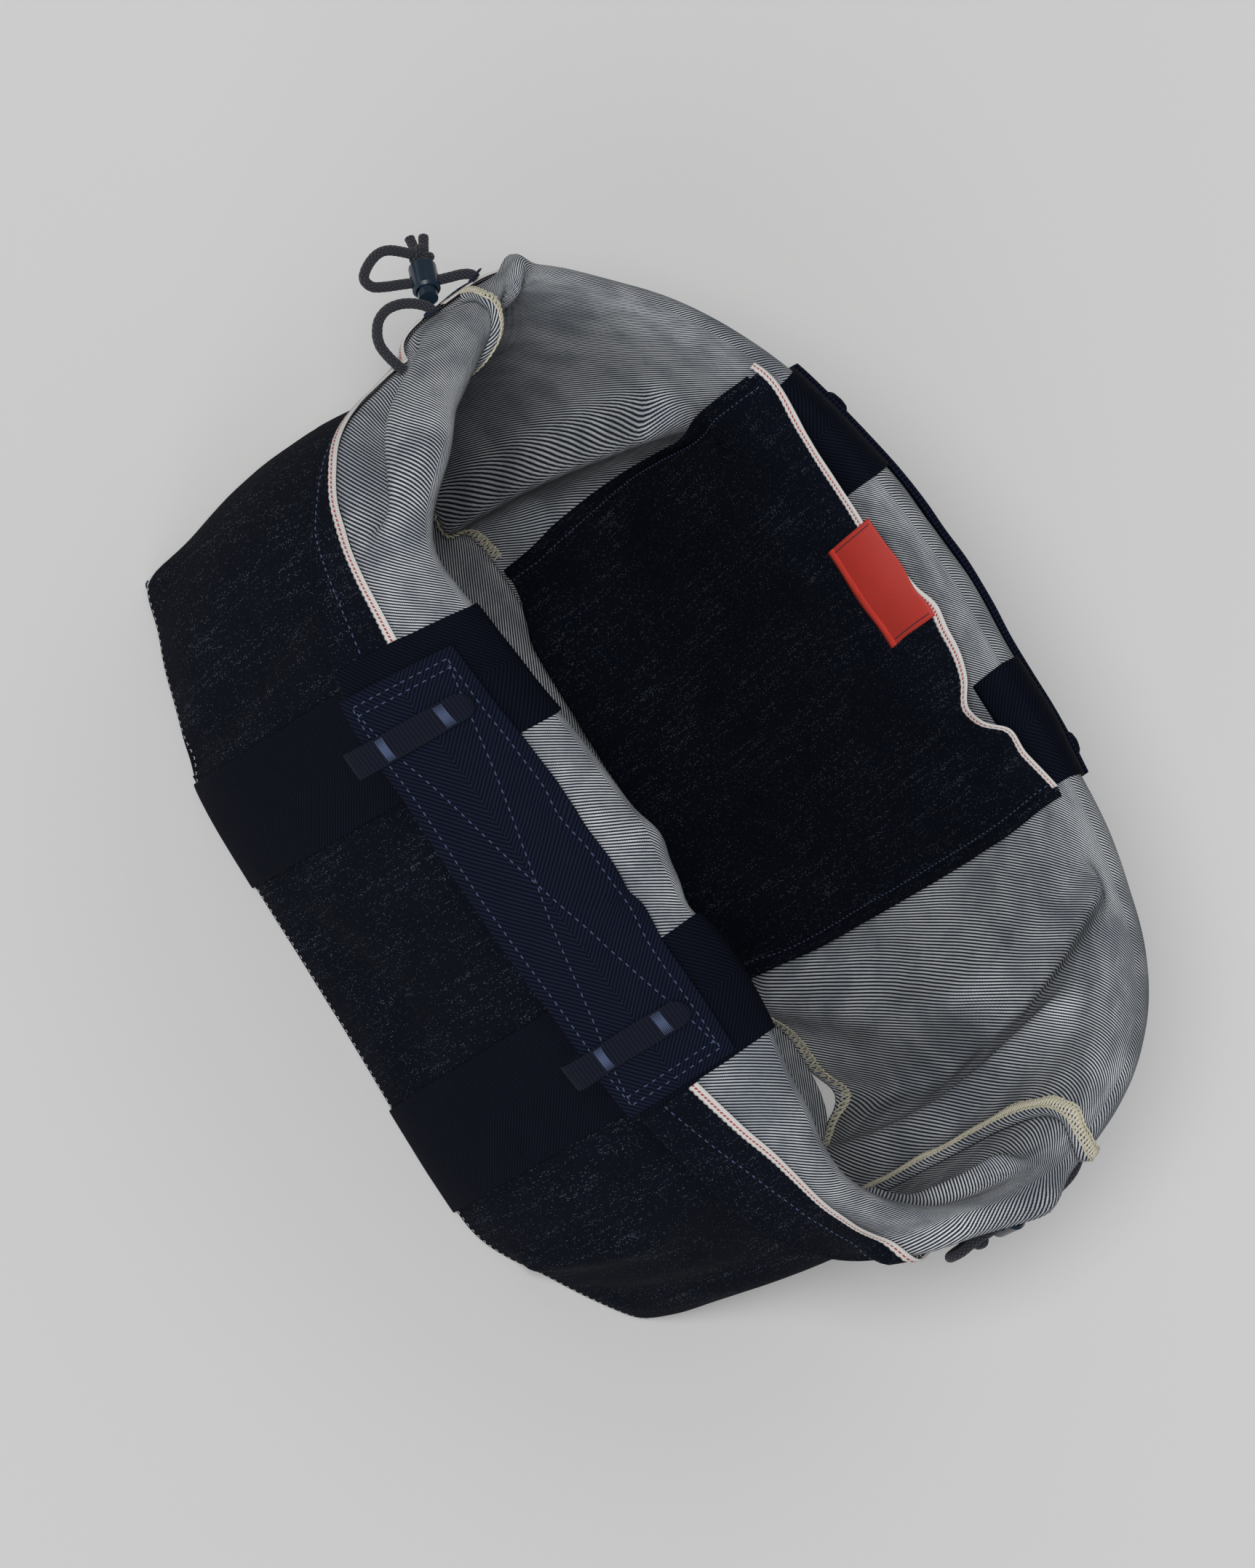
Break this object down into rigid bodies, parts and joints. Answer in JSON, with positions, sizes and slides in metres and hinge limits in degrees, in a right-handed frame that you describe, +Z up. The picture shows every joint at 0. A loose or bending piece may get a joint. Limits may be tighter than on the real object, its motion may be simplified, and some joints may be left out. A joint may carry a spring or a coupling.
{
  "type": "open denim carry bag",
  "caption": "Open box-bottomed denim carry bag with webbing bands, a short grab handle on each long side, an inside pocket and a drawcord rim with barrel locks.",
  "frame": {"origin": "centre of the base's underside, where the bag stands", "axes": "+X along the bag towards its right end, -Y the front, +Z up"},
  "size_m": [0.4404, 0.286, 0.2265],
  "materials": {
    "denim_outside": "dark indigo twill with fine pale flecks",
    "denim_inside": "white and navy diagonal twill, matt",
    "overlock_thread": "cream overlock thread, matt",
    "selvedge": "white selvedge with a thin red line",
    "wide_webbing": "dark navy herringbone webbing, soft sheen",
    "handle_webbing": "dark navy webbing with mid-blue stitching",
    "grosgrain": "dark navy cross-ribbed tape",
    "label_weave": "red satin weave",
    "label_thread": "bright red satin stitch",
    "drawcord_braid": "round braided cord, matt",
    "eyelet_thread": "worked eyelet in dark thread",
    "lock_plastic": "dark blue translucent moulded plastic",
    "spring_steel": "small steel compression spring"
  },
  "bodies": {
    "bag": {"base_panel": "denim_outside", "front_wall": "denim_outside", "back_wall": "denim_outside", "left_rim_end": "denim_inside", "right_rim_end": "denim_inside", "left_end_seam": "overlock_thread", "right_end_seam": "overlock_thread", "back_base_seam": "overlock_thread", "left_end_selvedge": "selvedge", "right_end_selvedge": "selvedge", "webbing_front_left": "wide_webbing", "webbing_front_right": "wide_webbing", "webbing_back_left": "wide_webbing", "webbing_back_right": "wide_webbing", "webbing_base_left": "wide_webbing", "webbing_base_right": "wide_webbing", "pocket_panel": "denim_outside", "pocket_selvedge": "selvedge", "label": "label_weave", "label_stitching": "label_thread", "left_eyelet": "eyelet_thread", "left_return_eyelet": "eyelet_thread", "right_eyelet": "eyelet_thread", "left_drawcord": "drawcord_braid", "left_return_cord": "drawcord_braid", "right_drawcord": "drawcord_braid", "left_cord_knot": "drawcord_braid", "right_cord_knot": "drawcord_braid"},
    "front_rim_body": {"front_rim": "denim_inside", "front_hem": "denim_outside", "front_selvedge": "selvedge", "rim_webbing_front_left": "wide_webbing", "rim_webbing_front_right": "wide_webbing", "front_handle": "handle_webbing", "front_loop_left": "grosgrain", "front_loop_right": "grosgrain"},
    "back_rim_body": {"back_rim": "denim_inside", "back_hem": "denim_outside", "back_selvedge": "selvedge", "rim_webbing_back_left": "wide_webbing", "rim_webbing_back_right": "wide_webbing", "back_handle": "handle_webbing", "back_loop_left": "grosgrain", "back_loop_right": "grosgrain"},
    "left_lock": {"left_lock_barrel": "lock_plastic", "left_lock_spring": "spring_steel"},
    "left_button": {"left_lock_plunger": "lock_plastic"},
    "right_lock": {"right_lock_barrel": "lock_plastic", "right_lock_spring": "spring_steel"},
    "right_button": {"right_lock_plunger": "lock_plastic"}
  },
  "joints": [
    {"name": "front_rim_lift", "type": "hinge", "parent": "bag", "child": "front_rim_body", "pos_m": [0, -0.08, 0.21], "axis": [-1, 0, 0], "range_deg": [0, 40]},
    {"name": "back_rim_lift", "type": "hinge", "parent": "bag", "child": "back_rim_body", "pos_m": [-0.016, 0.098, 0.219], "axis": [1, 0, 0], "range_deg": [0, 40]},
    {"name": "left_lock_slide", "type": "slide", "parent": "bag", "child": "left_lock", "axis": [-0.3984, -0.7877, -0.4698], "range_m": [0, 0.003]},
    {"name": "left_lock_press", "type": "slide", "parent": "left_lock", "child": "left_button", "axis": [-0.7405, 0.5785, -0.342], "range_m": [0, 0.0035], "stiffness_N_per_m": 180, "springref_m": -0.001, "deforming": ["left_lock_spring"]},
    {"name": "right_lock_slide", "type": "slide", "parent": "bag", "child": "right_lock", "axis": [0, 1, 0], "range_m": [-0.003, 0.003]},
    {"name": "right_lock_press", "type": "slide", "parent": "right_lock", "child": "right_button", "axis": [0, 0, -1], "range_m": [0, 0.0035], "stiffness_N_per_m": 180, "springref_m": -0.001, "deforming": ["right_lock_spring"]}
  ]
}
